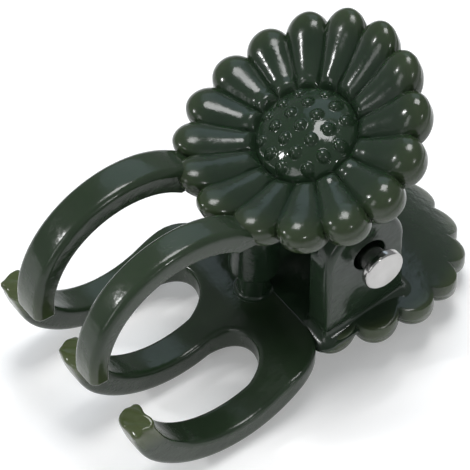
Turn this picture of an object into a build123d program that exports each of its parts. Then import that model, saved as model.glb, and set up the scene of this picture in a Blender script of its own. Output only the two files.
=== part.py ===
from build123d import *
import os
from math import acos, asin, atan2, ceil, cos, degrees, hypot, pi, radians, sin, sqrt

os.makedirs("parts", exist_ok=True)

# Plant clip with two daisy pads. Everything is drawn about the hinge: the pin lies along Y
# through the origin, +X runs to the pads, -X to the fingers and +Z is up, square to the
# lower pad. At the end all pieces move together, so that the clip lies on Z = 0 as it does
# on a table, on its lower fingers and its lower daisy, with its middle on the Z axis.

# Daisy, drawn with its back face at zero height and its petals upwards
PETALS = 16
PAD_R = 9.6                # petal tips
PETAL_END_R = 1.78         # round end of a petal, seen from the front
PETAL_ROOT_R = 0.62        # half width of a petal's root, under the middle dome
PETAL_ROOT_AT = 3.0        # distance of that root from the middle
PETAL_CROWN = 1.5          # rise of a petal's end over its wall
PAD_WALL = 1.05            # plain wall round the edge, under the petals' crowns
PARTING_STEP = 0.05        # ledge between the wall and a petal's crown
DISH_R = 16.6              # bend of the pad, which a finger tip rests in
DOME_R = 3.8               # edge of the middle dome
DOME_RIM = 1.7             # height of that edge
DOME_CROWN = 3.1           # height of the dome's middle
SINK = 0.45                # how deep ears, pegs and fingers reach into a pad

# Where each daisy sits, from the pin
UPPER_TILT = 21.4          # the upper pad rises to +X
UPPER_PAD_X = 1.93         # middle of its back face, measured along the tilted pad
UPPER_PAD_Z = 4.93         # and square to it
UPPER_TURN = -5.36         # how far its petals stand off square
LOWER_PAD_X = 2.4
LOWER_PAD_Z = 5.6
LOWER_TURN = 3.67

# Fingers, drawn in the side view
FINGER_W = 2.6
FINGER_PITCH = 3.81        # upper and lower fingers take turns at this spacing
RIDGE_R = 0.6              # rounding of a finger's outer edges

HOOK_X = -14.19            # middle of the inner round of the upper fingers
HOOK_Z = -0.81
HOOK_R = 6.87
HOOK_BACK_X = -14.15       # middle of their outer round
HOOK_BACK_Z = -0.05
HOOK_BACK_R = 8.05
HOOK_TIP_Z = -1.4          # how far down they reach
HOOK_UNDER_X = -9.9        # where the inner round meets the pad's edge
HOOK_OVER_X = -7.5         # where the outer round dives into the pad

BOWL_X = -13.02            # middle of the inner round of the lower fingers
BOWL_Z = -2.05
BOWL_R = 7.27
KEEL_R = 11.86             # their outer round
BELLY_T = 1.8              # from the bottom of the inner round to that of the outer one
TIP_T = 1.75               # across the tip
TIP_IN_Z = -3.6            # inner corner of the slanting tip, on the inner round
TIP_OUT_Z = -4.2           # outer corner, on the outer round
CREST_X = -5.05            # where the neck's top meets the pad
CREST_Z = -7.3
HEEL_START = 9.1           # the outer round ends this far past its lowest point, in degrees
HEEL_TURN = 36.0           # and the heel's small round goes on through this angle
HEEL_R = 3.68
INSTEP_R = 4.6             # hollow round from the heel to the pad
NECK_CORNER_R = 4.25       # the neck's corners, seen from above
SLOT_END_X = -7.65         # closed ends of the slots between the lower fingers

# Hinge
PIN_R = 1.0
PIN_HEAD_R = 1.65
PIN_HEAD_T = 0.65
PIN_HEAD_OUT = 9.1         # the head's outer face
PIN_HEAD_EDGE = 0.18       # rounding of its rim
PIN_END_OUT = 7.5          # the plain end, past the far ear
PIN_FIT = 0.055            # running clearance in the upper ears
PIN_TIGHT = 0.03           # clearance in the far lower ear
PIN_LOOSE_R = 1.35         # the wide hole in the near ear

LOWER_EAR_IN = 5.0         # inner face of a lower ear
LOWER_EAR_OUT = 7.2
LOWER_EAR_BACK = -3.75
LOWER_EAR_FRONT = 3.2
LOWER_EAR_TOP = 3.6
EAR_EDGE = 0.5             # rounding of its outer edge
UPPER_EAR_IN = 3.0
UPPER_EAR_OUT = 4.8
UPPER_EAR_R = 2.5

# Stop between the jaws
PEG_X = -5.1
PEG_R = 1.9
BOSS_R = 1.25
STOP_Z = -4.6
STOP_GAP = 0.08

# Spring, a wire wound round the pin
WIRE_R = 0.32
COIL_R = 2.15              # middle of the wire
COIL_TURNS = 4             # whole turns, besides the part turn between the legs
COIL_PITCH = 1.15
LEG_REACH = 7.6            # how far each leg runs out under its pad
LEG_GAP = 0.2              # from the wire to the pad


# Daisy

def dish(x):
    """Height of the bent back face at a distance x from its middle line."""
    return DISH_R - sqrt(DISH_R**2 - x**2)


def hollow(depth=0):
    """Cylinder that fills the hollow side of a pad, down to this depth under its back face."""
    return Pos(0, 0, DISH_R + depth) * (Rot(90, 0, 0) * Cylinder(DISH_R, 4 * PAD_R))


PETAL_END_AT = PAD_R - PETAL_END_R
PETAL_SLANT = asin((PETAL_END_R - PETAL_ROOT_R) / (PETAL_END_AT - PETAL_ROOT_AT))
PETAL_WIDE_AT = PETAL_END_AT - PETAL_END_R * sin(PETAL_SLANT)


def petal_half_width(d):
    """Half width of a petal at the distance d: straight flanks, then the round end."""
    if d < PETAL_WIDE_AT:
        return (PETAL_ROOT_R + (d - PETAL_ROOT_AT) * sin(PETAL_SLANT)) / cos(PETAL_SLANT)
    return sqrt(max(PETAL_END_R**2 - (d - PETAL_END_AT) ** 2, 0))


def petal_outline():
    """Outline of one petal along +X, seen from the front."""
    half = petal_half_width(PETAL_WIDE_AT)
    root_half = petal_half_width(PETAL_ROOT_AT)
    flank = Line((PETAL_ROOT_AT, root_half), (PETAL_WIDE_AT, half))
    end = ThreePointArc((PETAL_WIDE_AT, half), (PAD_R, 0), (PETAL_WIDE_AT, -half))
    other = Line((PETAL_WIDE_AT, -half), (PETAL_ROOT_AT, -root_half))
    root = Line((PETAL_ROOT_AT, -root_half), (PETAL_ROOT_AT, root_half))
    return make_face([flank, end, other, root])


CROWN_END_R = PETAL_END_R - PARTING_STEP
CROWN_ROOT_R = PETAL_ROOT_R - PARTING_STEP


def petal_height(d, turn):
    """Height of the wall's top at the distance d along the petal that points along the turn."""
    return dish(d * cos(radians(turn))) + PAD_WALL


def petal_ball_height(turn):
    """Height of the middle of the ball that ends a petal."""
    return petal_height(PETAL_END_AT, turn) + PETAL_CROWN - CROWN_END_R


def petal_crown(turn):
    """The rounded top of the petal that points along the angle turn: a cone with a ball end."""
    root_z = petal_height(PETAL_ROOT_AT, turn)
    run = PETAL_END_AT - PETAL_ROOT_AT
    rise = petal_ball_height(turn) - root_z
    length = hypot(run, rise)
    slant = asin((CROWN_END_R - CROWN_ROOT_R) / length)
    joint = on_circle(length, 0, CROWN_END_R, pi / 2 + slant)
    nose = (length + CROWN_END_R, 0)
    sides = Polyline((0, 0), (0, CROWN_ROOT_R / cos(slant)), joint)
    end = ThreePointArc(joint, on_circle(length, 0, CROWN_END_R, pi / 4), nose)
    crown = revolve(Plane.XZ * make_face([sides, end, Line(nose, (0, 0))]), Axis.X)
    crown = Rot(0, -degrees(atan2(rise, run)), 0) * crown
    return Rot(0, 0, turn) * Pos(PETAL_ROOT_AT, 0, root_z) * crown


def daisy(turn):
    """Whole pad: the scalloped, bent plate, its petals and the dome in the middle."""
    step = 360 / PETALS
    angles = [turn + (k + 0.5) * step for k in range(PETALS)]
    outline = Circle(DOME_R)
    for angle in angles:
        outline += Rot(0, 0, angle) * petal_outline()
    depth = dish(PAD_R) + PAD_WALL
    plate = (extrude(outline, depth) & hollow()) - hollow(PAD_WALL)
    rise = DOME_CROWN - DOME_RIM
    dome_r = (DOME_R**2 + rise**2) / (2 * rise)
    ball = Pos(0, 0, DOME_CROWN - dome_r) * Sphere(dome_r)
    room = Pos(0, 0, PAD_WALL + DOME_CROWN) * Cylinder(DOME_R + SINK, 2 * DOME_CROWN)
    over = hollow(PAD_WALL / 2)
    return plate + (ball & room) + [petal_crown(angle) & over for angle in angles]


UPPER_FRAME = Rot(0, -UPPER_TILT, 0)
UPPER_PAD = UPPER_FRAME * Pos(UPPER_PAD_X, 0, UPPER_PAD_Z)
LOWER_PAD = Pos(LOWER_PAD_X, 0, -LOWER_PAD_Z) * Rot(180, 0, 0)


def upper_point(along, depth):
    """A point of the side view, in the upper pad at a depth under its back face."""
    spot = (UPPER_PAD * Pos(along, 0, dish(along) + depth)).position
    return (spot.X, spot.Z)


# Side views are drawn in X and Z and then given their width

def bar(outline, width, y):
    """A bar of the given side view, width wide, its middle at y."""
    return Pos(0, y, 0) * extrude(Plane.XZ * outline, width / 2, both=True)


def on_circle(x, z, r, angle):
    return (x + r * cos(angle), z + r * sin(angle))


def arc_about(x, z, r, start, end):
    """Arc from one angle to another, in radians, round a middle."""
    return ThreePointArc(
        on_circle(x, z, r, start), on_circle(x, z, r, (start + end) / 2), on_circle(x, z, r, end)
    )


def soften(body, face_radii, edge_r):
    """Round the long edges of the faces that have these radii in the side view."""
    chain = ShapeList()
    for face in body.faces().filter_by(GeomType.CYLINDER):
        fits = [r for r in face_radii if round(face.radius / r, 3) == 1]
        if fits and abs(face.axis_of_rotation.direction.Y) > cos(radians(UPPER_TILT)):
            chain += [edge for edge in face.edges() if edge.geom_type != GeomType.LINE]
    return fillet(list(set(chain)), edge_r)


# Upper jaw

def upper_finger():
    """Side view of an upper finger: a hook between two rounds, from its tip into the pad."""
    in_start = acos((HOOK_UNDER_X - HOOK_X) / HOOK_R)
    in_end = pi + asin((HOOK_Z - HOOK_TIP_Z) / HOOK_R)
    out_start = acos((HOOK_OVER_X - HOOK_BACK_X) / HOOK_BACK_R)
    out_end = pi + asin((HOOK_BACK_Z - HOOK_TIP_Z) / HOOK_BACK_R)
    inner = arc_about(HOOK_X, HOOK_Z, HOOK_R, in_start, in_end)
    outer = arc_about(HOOK_BACK_X, HOOK_BACK_Z, HOOK_BACK_R, out_start, out_end)
    tip = Line(inner @ 1, outer @ 1)
    root = Polyline(inner @ 0, upper_point(HOOK_OVER_X, SINK / 2), outer @ 0)
    return make_face([inner, tip, outer, root])


def upper_ear(side):
    """Ear that hangs from the upper pad and turns on the pin."""
    height = UPPER_PAD_Z + PAD_WALL * 2
    round_end = Circle(UPPER_EAR_R)
    shank = Pos(0, height / 2) * Rectangle(2 * UPPER_EAR_R, height)
    middle = side * (UPPER_EAR_IN + UPPER_EAR_OUT) / 2
    ear = bar(round_end + shank, UPPER_EAR_OUT - UPPER_EAR_IN, middle)
    return UPPER_FRAME * (ear - Pos(UPPER_PAD_X, 0, UPPER_PAD_Z) * hollow(SINK))


def upper_jaw():
    body = UPPER_PAD * daisy(UPPER_TURN)
    for side in (-1, 1):
        finger = bar(upper_finger(), FINGER_W, side * FINGER_PITCH)
        body += soften(finger, (HOOK_BACK_R,), RIDGE_R)
        body += upper_ear(side)
    peg_foot = STOP_Z + STOP_GAP
    peg_top = upper_point(PEG_X, SINK)[1]
    body += Pos(PEG_X, 0, (peg_foot + peg_top) / 2) * Cylinder(PEG_R, peg_top - peg_foot)
    bore = Rot(90, 0, 0) * Cylinder(PIN_R + PIN_FIT, 4 * UPPER_EAR_OUT)
    return body - bore


# Lower jaw

# The neck's top leaves the bowl along a round that lies level at the crest
CREST_RUN = CREST_X - BOWL_X
CREST_DROP = BOWL_Z - CREST_Z
CREST_R = (CREST_RUN**2 + CREST_DROP**2 - BOWL_R**2) / (2 * (BOWL_R - CREST_DROP))

# Middle of the outer round, from its lowest point and its outer corner at the tip
KEEL_Z = BOWL_Z - BOWL_R - BELLY_T + KEEL_R
TIP_OUT_X = BOWL_X - sqrt(BOWL_R**2 - (BOWL_Z - TIP_IN_Z) ** 2) - TIP_T
KEEL_X = TIP_OUT_X + sqrt(KEEL_R**2 - (KEEL_Z - TIP_OUT_Z) ** 2)


def lower_side():
    """Side view of the lower fingers and the neck that joins them to the pad."""
    below = -pi / 2
    bowl_end = atan2(-(CREST_DROP + CREST_R), CREST_RUN)
    bowl_start = -pi + asin((BOWL_Z - TIP_IN_Z) / BOWL_R)
    bowl = arc_about(BOWL_X, BOWL_Z, BOWL_R, bowl_start, bowl_end)
    crest = arc_about(CREST_X, CREST_Z - CREST_R, CREST_R, bowl_end + pi, pi / 2)
    # the outer round, the heel and the hollow that ends level under the pad
    keel_end = below + radians(HEEL_START)
    keel_start = -pi + asin((KEEL_Z - TIP_OUT_Z) / KEEL_R)
    keel = arc_about(KEEL_X, KEEL_Z, KEEL_R, keel_start, keel_end)
    heel_x, heel_z = on_circle(KEEL_X, KEEL_Z, KEEL_R - HEEL_R, keel_end)
    heel_end = keel_end + radians(HEEL_TURN)
    heel = arc_about(heel_x, heel_z, HEEL_R, keel_end, heel_end)
    hollow_x, hollow_z = on_circle(heel_x, heel_z, HEEL_R + INSTEP_R, heel_end)
    hollow = arc_about(hollow_x, hollow_z, INSTEP_R, heel_end + pi, pi / 2)
    tip = Line(keel @ 0, bowl @ 0)
    end = Polyline(crest @ 1, (hollow_x, CREST_Z), hollow @ 1)
    return make_face([tip, bowl, crest, end, hollow, heel, keel]), hollow_x


def lower_arms():
    side, end_x = lower_side()
    half = 2 * FINGER_PITCH + FINGER_W / 2
    reach = KEEL_R - KEEL_X
    tall = 4 * KEEL_R
    body = bar(side, 2 * half, 0)
    # the neck's corners, seen from above
    plan = Pos(end_x - reach, 0) * RectangleRounded(2 * reach, 2 * half, NECK_CORNER_R)
    body &= extrude(plan, tall / 2, both=True)
    slot_r = FINGER_PITCH - FINGER_W / 2
    for sign in (-1, 1):
        slot = Pos(SLOT_END_X - slot_r, sign * FINGER_PITCH) * Circle(slot_r)
        slot += Pos(SLOT_END_X - slot_r - reach / 2, sign * FINGER_PITCH) * Rectangle(reach, 2 * slot_r)
        body -= extrude(slot, tall / 2, both=True)
    return soften(body, (KEEL_R, HEEL_R, INSTEP_R), RIDGE_R)


def lower_ear(side):
    """Ear that stands on the lower pad and carries the pin."""
    width = LOWER_EAR_FRONT - LOWER_EAR_BACK
    middle_x = (LOWER_EAR_FRONT + LOWER_EAR_BACK) / 2
    round_z = LOWER_EAR_TOP - width / 2
    foot = -LOWER_PAD_Z - 2 * PAD_WALL
    outline = Pos(middle_x, round_z) * Circle(width / 2)
    outline += Pos(middle_x, (round_z + foot) / 2) * Rectangle(width, round_z - foot)
    middle = side * (LOWER_EAR_IN + LOWER_EAR_OUT) / 2
    ear = bar(outline, LOWER_EAR_OUT - LOWER_EAR_IN, middle)
    outer = ear.faces().sort_by(Axis.Y)[0 if side < 0 else -1]
    ear = fillet(outer.edges(), EAR_EDGE)
    ear -= LOWER_PAD * hollow(SINK)
    hole_r = PIN_LOOSE_R if side < 0 else PIN_R + PIN_TIGHT
    return ear - Pos(0, middle, 0) * Rot(90, 0, 0) * Cylinder(hole_r, LOWER_EAR_OUT)


def lower_jaw():
    body = LOWER_PAD * daisy(LOWER_TURN) + lower_arms()
    for side in (-1, 1):
        body += lower_ear(side)
    boss_top = STOP_Z
    boss_foot = CREST_Z - SINK
    body += Pos(PEG_X, 0, (boss_top + boss_foot) / 2) * Cylinder(BOSS_R, boss_top - boss_foot)
    return body


# Pin

def hinge_pin():
    """Headed pin, its head standing off the near ear."""
    shank_len = PIN_END_OUT + PIN_HEAD_OUT - PIN_HEAD_T
    along_y = Rot(90, 0, 0)
    head = fillet(Cylinder(PIN_HEAD_R, PIN_HEAD_T).edges(), PIN_HEAD_EDGE)
    shank = chamfer(Cylinder(PIN_R, shank_len).edges().sort_by(Axis.Z)[0], PIN_HEAD_EDGE)
    pin = Pos(0, 0, PIN_HEAD_OUT - PIN_HEAD_T / 2) * head
    pin += Pos(0, 0, (PIN_HEAD_OUT - PIN_HEAD_T - PIN_END_OUT) / 2) * shank
    return along_y * pin


# Spring

def biarc(p0, t0, p1, t1):
    """Two arcs that leave p0 along t0 and reach p1 along t1."""
    gap = p1 - p0
    both = t0 + t1
    slack = 2 * (1 - t0.dot(t1))
    d = (sqrt(gap.dot(both) ** 2 + slack * gap.dot(gap)) - gap.dot(both)) / slack
    middle = (p0 + p1 + (t0 - t1) * d) * 0.5
    turn = (p1 - t1 * d) - (p0 + t0 * d)
    return [
        TangentArc(p0, middle, tangent=t0),
        TangentArc(middle, p1, tangent=turn.normalized()),
    ]


def leg_target(along, height):
    """Direction of a leg that leaves the coil and ends at this point of its pad's frame."""
    far = hypot(along, height)
    return atan2(height, along) - asin(COIL_R / far)


def spring():
    room = WIRE_R + LEG_GAP
    low_to_end = LEG_REACH - LOWER_PAD_X
    low = leg_target(LEG_REACH, LOWER_PAD_Z + dish(low_to_end) - room)
    high_to_end = LEG_REACH - UPPER_PAD_X
    high = leg_target(LEG_REACH, UPPER_PAD_Z + dish(high_to_end) - room) + radians(UPPER_TILT)
    # angles in the side view at which the wire meets the coil; it winds from low to high
    start = -low - pi / 2
    end = high + pi / 2 - 2 * pi
    total = start - end + 2 * pi * COIL_TURNS
    rise = COIL_PITCH / (2 * pi)
    steps = ceil(total / (pi / 2))

    def place(k):
        turned = total * k / steps
        angle = start - turned
        return Vector(COIL_R * cos(angle), rise * (turned - total / 2), COIL_R * sin(angle))

    def heading(k):
        angle = start - total * k / steps
        climb = 0 if k in (0, steps) else rise
        return Vector(COIL_R * sin(angle), climb, -COIL_R * cos(angle)).normalized()

    path = []
    far = sqrt(LEG_REACH**2 + (LOWER_PAD_Z + dish(low_to_end) - room) ** 2 - COIL_R**2)
    path.append(Line(place(0) - heading(0) * far, place(0)))
    for k in range(steps):
        path += biarc(place(k), heading(k), place(k + 1), heading(k + 1))
    far = sqrt(LEG_REACH**2 + (UPPER_PAD_Z + dish(high_to_end) - room) ** 2 - COIL_R**2)
    path.append(Line(place(steps), place(steps) + heading(steps) * far))
    wire = Wire(path)
    section = Plane(origin=wire @ 0, z_dir=wire % 0) * Circle(WIRE_R)
    tube = sweep(section, path=wire)
    print("spring wire", round(wire.length, 2), "volume over section times length",
          round(tube.volume / (pi * WIRE_R**2 * wire.length), 4))
    print("spring least gap to itself", round(least_gap(wire), 3))
    return tube


def least_gap(wire):
    """Least gap between stretches of the wire that are over one turn's quarter apart."""
    count = 600
    spots = [wire @ (k / count) for k in range(count + 1)]
    apart = ceil(count * (pi / 2) * COIL_R / wire.length)
    gaps = []
    for i in range(0, count + 1):
        for j in range(i + apart, count + 1):
            gaps.append((spots[i] - spots[j]).length)
    return min(gaps) - 2 * WIRE_R


# Assembly

def lay_tilt():
    """Degrees that the clip tips about Y until its keel and front petals touch one plane."""
    step = 360 / PETALS
    front = min(abs(LOWER_TURN + (k + 0.5) * step) for k in (-1, 0))
    ball_x = LOWER_PAD_X + PETAL_END_AT * cos(radians(front))
    ball_z = -LOWER_PAD_Z - petal_ball_height(front)
    low, high = 0, UPPER_TILT
    for _ in range(2 * PETALS):
        tilt = radians((low + high) / 2)
        keel_low = KEEL_Z * cos(tilt) - KEEL_X * sin(tilt) - KEEL_R
        petal_low = ball_z * cos(tilt) - ball_x * sin(tilt) - CROWN_END_R
        if petal_low > keel_low:
            low = degrees(tilt)
        else:
            high = degrees(tilt)
    return high


pieces = {
    "lower_jaw": lower_jaw(),
    "upper_jaw": upper_jaw(),
    "hinge_pin": hinge_pin(),
    "torsion_spring": spring(),
}

lay = Rot(0, lay_tilt(), 0)
box = Compound(children=[lay * piece for piece in pieces.values()]).bounding_box()
stand = Pos(-(box.min.X + box.max.X) / 2, -(box.min.Y + box.max.Y) / 2, -box.min.Z) * lay
for name, piece in pieces.items():
    export_step(stand * piece, f"parts/{name}.step")

pin = stand.position
print("hinge axis at", round(pin.X, 3), round(pin.Y, 3), round(pin.Z, 3))
print("laid down by", round(lay_tilt(), 3), "degrees")
print("size", round(box.size.X, 2), round(box.size.Y, 2), round(box.size.Z, 2))
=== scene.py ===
# %% [markdown]
# # A daisy orchid clip, dressed piece by piece
#
# A small spring clip that holds a flower stem to its stake: two moulded green jaws, each with
# a daisy for a thumb pad, turn on a bright steel pin, and a wire spring keeps them shut. The
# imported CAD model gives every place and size. This lesson puts the moulded surfaces, the
# steel and the studio round it.

from math import acos, asin, atan2, cos, hypot, pi, radians, sin, sqrt

import bmesh
import bpy
import numpy as np
from mathutils import Matrix, Vector


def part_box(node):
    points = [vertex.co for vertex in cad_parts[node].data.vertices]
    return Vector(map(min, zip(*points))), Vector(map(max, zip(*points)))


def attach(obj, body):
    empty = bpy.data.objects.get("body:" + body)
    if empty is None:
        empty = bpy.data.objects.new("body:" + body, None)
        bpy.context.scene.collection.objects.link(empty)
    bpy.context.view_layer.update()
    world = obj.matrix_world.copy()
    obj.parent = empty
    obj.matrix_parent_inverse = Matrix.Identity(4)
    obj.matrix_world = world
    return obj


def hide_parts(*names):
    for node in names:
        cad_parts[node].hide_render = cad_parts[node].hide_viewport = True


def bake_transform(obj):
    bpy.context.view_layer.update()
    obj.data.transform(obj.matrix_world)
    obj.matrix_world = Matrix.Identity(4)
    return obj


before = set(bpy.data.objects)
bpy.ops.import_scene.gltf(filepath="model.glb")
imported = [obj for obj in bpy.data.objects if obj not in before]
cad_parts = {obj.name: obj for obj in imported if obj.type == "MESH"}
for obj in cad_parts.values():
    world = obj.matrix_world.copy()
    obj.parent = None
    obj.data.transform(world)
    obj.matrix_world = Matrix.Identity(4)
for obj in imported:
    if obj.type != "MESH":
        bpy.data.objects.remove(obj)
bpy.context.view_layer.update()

# %% [markdown]
# ## One set of axes
#
# The clip is drawn as its side view is easiest to read: in millimetres about the hinge pin,
# +X to the pads, -X to the fingers, +Z up and square to the lower pad. On the table the clip
# lies nearly three degrees nose down, so one small turn and one shift carry every point of
# the drawing into the frame's metres.

# %% From the drawing to the table
MM = 0.001
LAY = radians(2.861)           # the clip lies on its fingers' bellies and its lower petals
pin_low, pin_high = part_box("hinge_pin")
HINGE = np.array([(pin_low.x + pin_high.x) / 2, 0.0, (pin_low.z + pin_high.z) / 2]) / MM


def turned(points):
    """Directions or points turned about Y by the lay angle: x' = x cos + z sin, z' = z cos - x sin."""
    p = np.asarray(points, float)
    x = p[..., 0] * cos(LAY) + p[..., 2] * sin(LAY)
    z = p[..., 2] * cos(LAY) - p[..., 0] * sin(LAY)
    return np.stack([x, p[..., 1], z], -1)


def to_table(points):
    """Points of the drawing in the frame's metres: turned, moved to the hinge and scaled."""
    return (turned(points) + HINGE) * MM


def to_drawing(points):
    """The way back, from the frame's metres to the drawing's millimetres."""
    p = np.asarray(points, float) / MM - HINGE
    x = p[..., 0] * cos(LAY) - p[..., 2] * sin(LAY)
    z = p[..., 2] * cos(LAY) + p[..., 0] * sin(LAY)
    return np.stack([x, p[..., 1], z], -1)


print("hinge stands at, mm:", np.round(HINGE, 3))

# %% [markdown]
# ## Grids into meshes
#
# Nearly every surface here is a grid of points worked out at once as an array: one index runs
# along the piece, the other round it. Three helpers turn such grids into closed meshes. The
# first lists the quads, the second looks whether a shell is inside out by the sign of the
# volume it holds, the third joins the shells of one piece, merges the doubled points at poles
# and seams, and puts the mesh into the scene.

# %% Grid helpers
def skin(points, wrap=True):
    """Quads between neighbours of a grid of points; with wrap, the last column meets the first."""
    rows, columns = points.shape[:2]
    index = np.arange(rows * columns).reshape(rows, columns)
    if wrap:
        index = np.hstack([index, index[:, :1]])
    quads = np.stack([index[:-1, :-1], index[:-1, 1:], index[1:, 1:], index[1:, :-1]], -1)
    return outward(points.reshape(-1, 3), quads.reshape(-1, 4))


def outward(points, quads):
    """The same shell with its faces outwards: volume is the sum of a.(b x c)/6 over triangles."""
    a, b, c, d = (points[quads[:, k]] for k in range(4))
    volume = (a * np.cross(b, c)).sum() + (a * np.cross(c, d)).sum()
    return points, quads if volume > 0 else quads[:, ::-1]


def join(*shells):
    """Several shells as one list of points and one of quads."""
    starts = np.cumsum([0] + [len(points) for points, _ in shells])
    return (np.concatenate([points for points, _ in shells]),
            np.concatenate([quads + start for (_, quads), start in zip(shells, starts)]))


def piece(name, shell, body, finish, crease=50.0, shine_through=None):
    """A closed mesh object of the drawing's shell, riding on a body and wearing a finish. With
    shine_through, a function of the drawing's points, each vertex also keeps how much painted
    light through thinner plastic it gets."""
    points, quads = shell
    mesh = bpy.data.meshes.new(name)
    mesh.from_pydata(to_table(points).tolist(), [], quads.tolist())
    cleaner = bmesh.new()
    cleaner.from_mesh(mesh)
    bmesh.ops.remove_doubles(cleaner, verts=cleaner.verts, dist=1e-7)
    bmesh.ops.dissolve_degenerate(cleaner, edges=cleaner.edges, dist=1e-8)
    cleaner.to_mesh(mesh)
    cleaner.free()
    mesh.polygons.foreach_set("use_smooth", np.ones(len(mesh.polygons), bool))
    mesh.set_sharp_from_angle(angle=radians(crease))
    mesh.materials.append(finish)
    # the painted shine-through share of each vertex, kept as a mesh attribute
    if shine_through:
        spots = np.empty(len(mesh.vertices) * 3)
        mesh.vertices.foreach_get("co", spots)
        share = np.clip(shine_through(to_drawing(spots.reshape(-1, 3))), 0, 1)
        mesh.attributes.new("shine_through", "FLOAT", "POINT").data.foreach_set("value", share)
    thing = bpy.data.objects.new(name, mesh)
    bpy.context.scene.collection.objects.link(thing)
    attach(thing, body)
    open_edges = sum(1 for n in edge_uses(mesh) if n != 2)
    print(f"{name}: {len(mesh.polygons)} faces, {open_edges} open edges")
    return thing


def edge_uses(mesh):
    """How many faces use each edge; 2 everywhere on a closed shell."""
    loops = np.empty(len(mesh.loops), np.int32)
    mesh.loops.foreach_get("edge_index", loops)
    return np.bincount(loops, minlength=len(mesh.edges))


# %% [markdown]
# ## The camera
#
# The photograph was taken from high on the finger side with a long lens. Its place was found
# by fitting the pin, the petals and the finger tips to their pixels, so the picture can be
# compared with the render point by point. The camera is worked out first, because it decides
# which surfaces need the most care.

# %% Camera at the photograph's angle
PICTURE = 470                  # pixels each way
FOCAL_PIXELS = 4247.7
EYE_SPOT = (-122.3, -165.5, 231.5)
LOOK_AT = (-6.80, 0.0, -0.08)

camera_data = bpy.data.cameras.new("camera")
camera_data.sensor_width = 36.0
camera_data.lens = camera_data.sensor_width * FOCAL_PIXELS / PICTURE
camera_data.clip_start, camera_data.clip_end = 0.01, 20
camera = bpy.data.objects.new("camera", camera_data)
bpy.context.scene.collection.objects.link(camera)
sight = turned(np.subtract(LOOK_AT, EYE_SPOT))
sight /= np.linalg.norm(sight)
right = np.cross(sight, turned((0, 0, 1)))
right /= np.linalg.norm(right)
above = np.cross(right, sight)
camera.matrix_world = Matrix.LocRotScale(
    Vector(to_table(EYE_SPOT)),
    Matrix(np.column_stack([right, above, -sight]).tolist()).to_quaternion(), None)
bpy.context.scene.camera = camera
print("lens, mm:", round(camera_data.lens, 1))

# %% [markdown]
# ## Dark green plastic
#
# The jaws are glossy moulded plastic, nearly black-green where it is thick. Towards a finger's
# end the plastic gets thinner and light gets through; that light is painted into the colour as
# olive. A principled shader adds a low roughness, a mirror layer a little dimmer than usual, and
# some light scattered under the surface. Noise in object coordinates clouds the colour, breaks up
# the gloss and gives the faint orange peel of a mould; all are worked out in millimetre scale, so
# that they sit still in every view. How much of the painted shine-through each spot gets comes
# with the mesh, as one number kept at each vertex.

# %% A small kit for node materials
def new_finish(name):
    """An empty node material and its principled shader."""
    finish = bpy.data.materials.new(name)
    finish.use_nodes = True
    tree = finish.node_tree
    return finish, tree.nodes, tree.links, tree.nodes["Principled BSDF"]


def noise(nodes, links, scale, detail=3.0, rough=0.5):
    """Noise in object coordinates; the scale is in waves per metre."""
    where = nodes.new("ShaderNodeTexCoord")
    cloud = nodes.new("ShaderNodeTexNoise")
    cloud.inputs["Scale"].default_value = scale
    cloud.inputs["Detail"].default_value = detail
    cloud.inputs["Roughness"].default_value = rough
    links.new(where.outputs["Object"], cloud.inputs["Vector"])
    return cloud


def ramp(nodes, links, source, stops):
    """A colour ramp from a list of (place, colour) stops."""
    band = nodes.new("ShaderNodeValToRGB")
    while len(band.color_ramp.elements) < len(stops):
        band.color_ramp.elements.new(0.5)
    for element, (place, colour) in zip(band.color_ramp.elements, stops):
        element.position = place
        element.color = (*colour, 1.0)
    links.new(source, band.inputs["Fac"])
    return band


def spread(nodes, links, source, low, high, out_low, out_high):
    """A number taken from one range to another."""
    change = nodes.new("ShaderNodeMapRange")
    limits = {"From Min": low, "From Max": high, "To Min": out_low, "To Max": out_high}
    for name, value in limits.items():
        change.inputs[name].default_value = value
    links.new(source, change.inputs["Value"])
    return change


# %% Green plastic
def green_plastic(name, thick_colour, cloud_colour, olive, smoothest, roughest):
    """Moulded gloss plastic; where the mesh's shine_through attribute is 1 it turns olive, painted light
    through thinner plastic.
    """
    finish, nodes, links, shader = new_finish(name)
    shader.inputs["IOR"].default_value = 1.53
    shader.inputs["Subsurface Weight"].default_value = 0.12
    shader.inputs["Subsurface Radius"].default_value = (0.35, 1.0, 0.3)
    shader.inputs["Subsurface Scale"].default_value = 0.0006
    shader.inputs["Specular IOR Level"].default_value = 0.36
    clouds = noise(nodes, links, 160.0, 4.0)
    body = ramp(nodes, links, clouds.outputs["Fac"], [(0.35, thick_colour), (0.7, cloud_colour)])
    shine_through = nodes.new("ShaderNodeAttribute")
    shine_through.attribute_name = "shine_through"
    tint = nodes.new("ShaderNodeMix")
    tint.data_type = "RGBA"
    tint.inputs[7].default_value = (*olive, 1.0)
    links.new(shine_through.outputs["Fac"], tint.inputs[0])
    links.new(body.outputs["Color"], tint.inputs[6])
    links.new(tint.outputs[2], shader.inputs["Base Color"])
    smudge = noise(nodes, links, 420.0, 5.0, 0.6)
    gloss = spread(nodes, links, smudge.outputs["Fac"], 0.3, 0.75, smoothest, roughest)
    links.new(gloss.outputs["Result"], shader.inputs["Roughness"])
    peel = noise(nodes, links, 900.0, 2.0)
    grain = noise(nodes, links, 5200.0, 3.0)
    ripple = nodes.new("ShaderNodeBump")
    ripple.inputs["Strength"].default_value = 0.4
    ripple.inputs["Distance"].default_value = 0.00011
    links.new(peel.outputs["Fac"], ripple.inputs["Height"])
    tooth = nodes.new("ShaderNodeBump")
    tooth.inputs["Strength"].default_value = 0.3
    tooth.inputs["Distance"].default_value = 0.00002
    links.new(grain.outputs["Fac"], tooth.inputs["Height"])
    links.new(ripple.outputs["Normal"], tooth.inputs["Normal"])
    links.new(tooth.outputs["Normal"], shader.inputs["Normal"])
    return finish


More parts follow.
